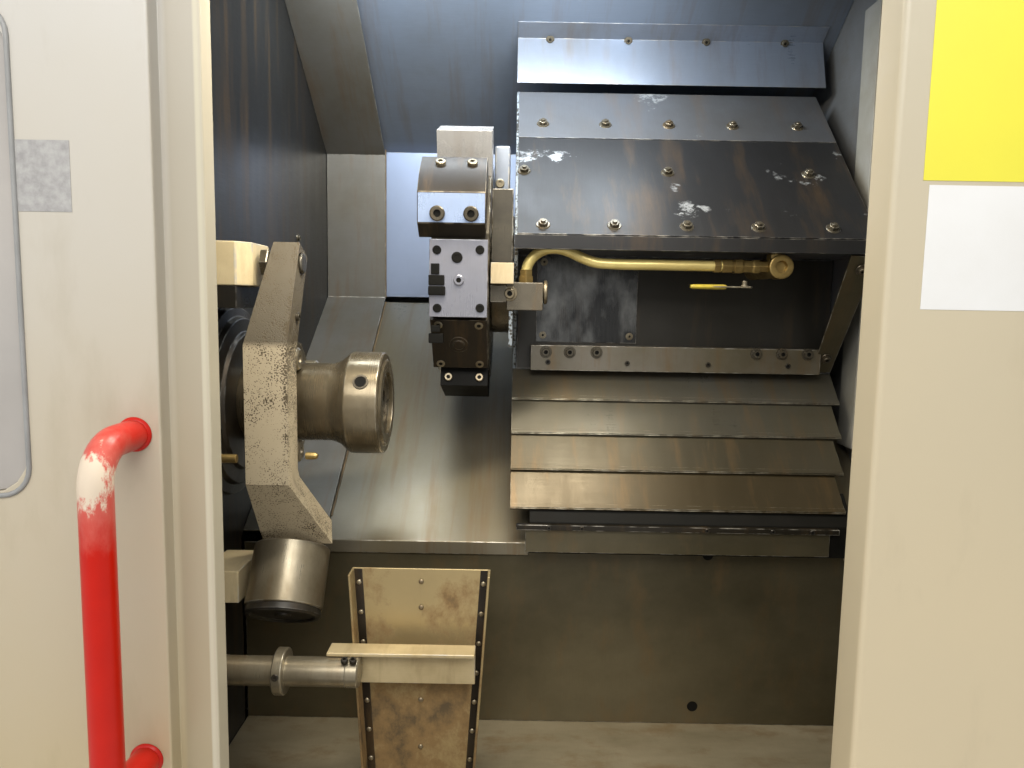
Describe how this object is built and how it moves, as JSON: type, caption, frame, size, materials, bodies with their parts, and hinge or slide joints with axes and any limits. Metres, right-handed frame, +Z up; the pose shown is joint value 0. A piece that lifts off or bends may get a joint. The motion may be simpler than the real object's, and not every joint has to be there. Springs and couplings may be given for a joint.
{
  "type": "cnc turning lathe",
  "caption": "Enclosed slant-bed turning lathe with sliding door, collet spindle, indexing turret, setting arm and part catcher.",
  "frame": {"origin": "on the floor under the middle of the machine's box", "axes": "+X along the spindle to the right, +Y from the door into the machine, +Z up"},
  "size_m": [2, 1.4193, 1.8],
  "materials": {
    "paint_white": "warm white baked paint, scuffed at the edges",
    "paint_dark": "dark grey paint",
    "black": "oily black coating",
    "red": "glossy red, worn through at the top bend",
    "yellow": "yellow dipped lever grip",
    "steel": "ground steel, stained",
    "bright": "brushed sheet steel with coolant stains",
    "dark_steel": "dark oily steel",
    "liner": "dull grey lining sheet",
    "iron": "cast, rough",
    "cast_grey": "grey casting with worn edges",
    "brass": "dull brass",
    "rubber": "black belt",
    "glass": "scratched safety pane"
  },
  "bodies": {
    "frame": {"arm_bracket": "liner", "back_panel": "paint_white", "base_plinth": "paint_dark", "cabinet_shell": "paint_white", "chip_pan": "bright", "control_box": "paint_dark", "coolant_tank": "paint_dark", "corner_liner": "liner", "drive_belt": "rubber", "electrical_cabinet": "paint_white", "front_frame": "paint_white", "front_right_panel": "paint_white", "headstock": "iron", "left_wall": "liner", "lower_track": "steel", "pan_back": "liner", "rear_liner": "liner", "right_wall": "liner", "slant_bed": "iron", "spindle_motor": "paint_dark", "spindle_shield": "black", "upper_track": "steel", "wall_ledge": "bright", "wiper_cover": "bright"},
    "door": {"sliding_door": "paint_white", "door_window": "glass", "door_handle": "red"},
    "stop_button": {"stop_button": "red"},
    "spindle": {"spindle": "dark_steel", "collet_chuck": "dark_steel", "collet": "steel", "spindle_pulley": "iron"},
    "motor_pulley": {"motor_pulley": "iron"},
    "setting_arm": {"setting_arm": "cast_grey", "arm_cup": "steel"},
    "catcher": {"catcher_shaft": "steel", "catcher_strap": "steel", "catcher_tray": "bright"},
    "saddle": {"saddle": "iron", "way_plate_left": "bright", "way_plate_right": "bright"},
    "cover_2": {"slope_cover_2": "bright"},
    "cover_3": {"slope_cover_3": "bright"},
    "cover_4": {"slope_cover_4": "bright"},
    "cross_slide": {"slope_cover_1": "bright", "slide_casing": "dark_steel", "left_cheek": "cast_grey", "right_cheek": "dark_steel", "slide_casting": "iron", "access_plate": "black", "turret_neck": "steel", "coolant_block": "steel", "coolant_pipe": "brass", "ball_valve": "brass"},
    "turret": {"turret_disc": "dark_steel", "tool_holder": "bright", "top_block": "steel", "face_plate": "bright"},
    "valve_lever": {"valve_lever": "yellow"}
  },
  "joints": [
    {"name": "door_slide", "type": "slide", "parent": "frame", "child": "door", "axis": [1, 0, 0], "range_m": [0, 0.638]},
    {"name": "stop_button_push", "type": "slide", "parent": "frame", "child": "stop_button", "axis": [0, 1, 0], "range_m": [0, 0.004], "stiffness_N_per_m": 800},
    {"name": "spindle_turn", "type": "hinge", "parent": "frame", "child": "spindle", "pos_m": [0, -0.225, 1.06], "axis": [1, 0, 0], "continuous": true},
    {"name": "motor_turn", "type": "hinge", "parent": "frame", "child": "motor_pulley", "pos_m": [-0.9, -0.075, 0.2303], "axis": [1, 0, 0], "continuous": true},
    {"name": "arm_swing", "type": "hinge", "parent": "frame", "child": "setting_arm", "pos_m": [-0.26, -0.304, 1.26], "axis": [1, 0, 0], "range_deg": [-20, 0]},
    {"name": "catcher_swing", "type": "hinge", "parent": "frame", "child": "catcher", "pos_m": [-0.2, -0.395, 0.725], "axis": [1, 0, 0], "range_deg": [-35, 0]},
    {"name": "saddle_slide", "type": "slide", "parent": "frame", "child": "saddle", "axis": [1, 0, 0], "range_m": [-0.2, 0.02]},
    {"name": "cross_slide_travel", "type": "slide", "parent": "saddle", "child": "cross_slide", "axis": [0, -0.7071, -0.7071], "range_m": [-0.045, 0.085]},
    {"name": "cover_2_slide", "type": "slide", "parent": "saddle", "child": "cover_2", "axis": [0, -0.7071, -0.7071], "range_m": [-0.03375, 0.06375]},
    {"name": "cover_3_slide", "type": "slide", "parent": "saddle", "child": "cover_3", "axis": [0, -0.7071, -0.7071], "range_m": [-0.0225, 0.0425]},
    {"name": "cover_4_slide", "type": "slide", "parent": "saddle", "child": "cover_4", "axis": [0, -0.7071, -0.7071], "range_m": [-0.01125, 0.02125]},
    {"name": "turret_index", "type": "hinge", "parent": "cross_slide", "child": "turret", "pos_m": [0, -0.025, 1.26], "axis": [1, 0, 0], "continuous": true},
    {"name": "valve_turn", "type": "hinge", "parent": "cross_slide", "child": "valve_lever", "pos_m": [0.4128, -0.147, 1.24], "axis": [0, 0, 1], "range_deg": [0, 90]}
  ],
  "couplings": [
    {"joint": "motor_turn", "follows": "spindle_turn", "ratio": 1.4167},
    {"joint": "cover_2_slide", "follows": "cross_slide_travel", "ratio": 0.75},
    {"joint": "cover_3_slide", "follows": "cross_slide_travel", "ratio": 0.5},
    {"joint": "cover_4_slide", "follows": "cross_slide_travel", "ratio": 0.25}
  ]
}
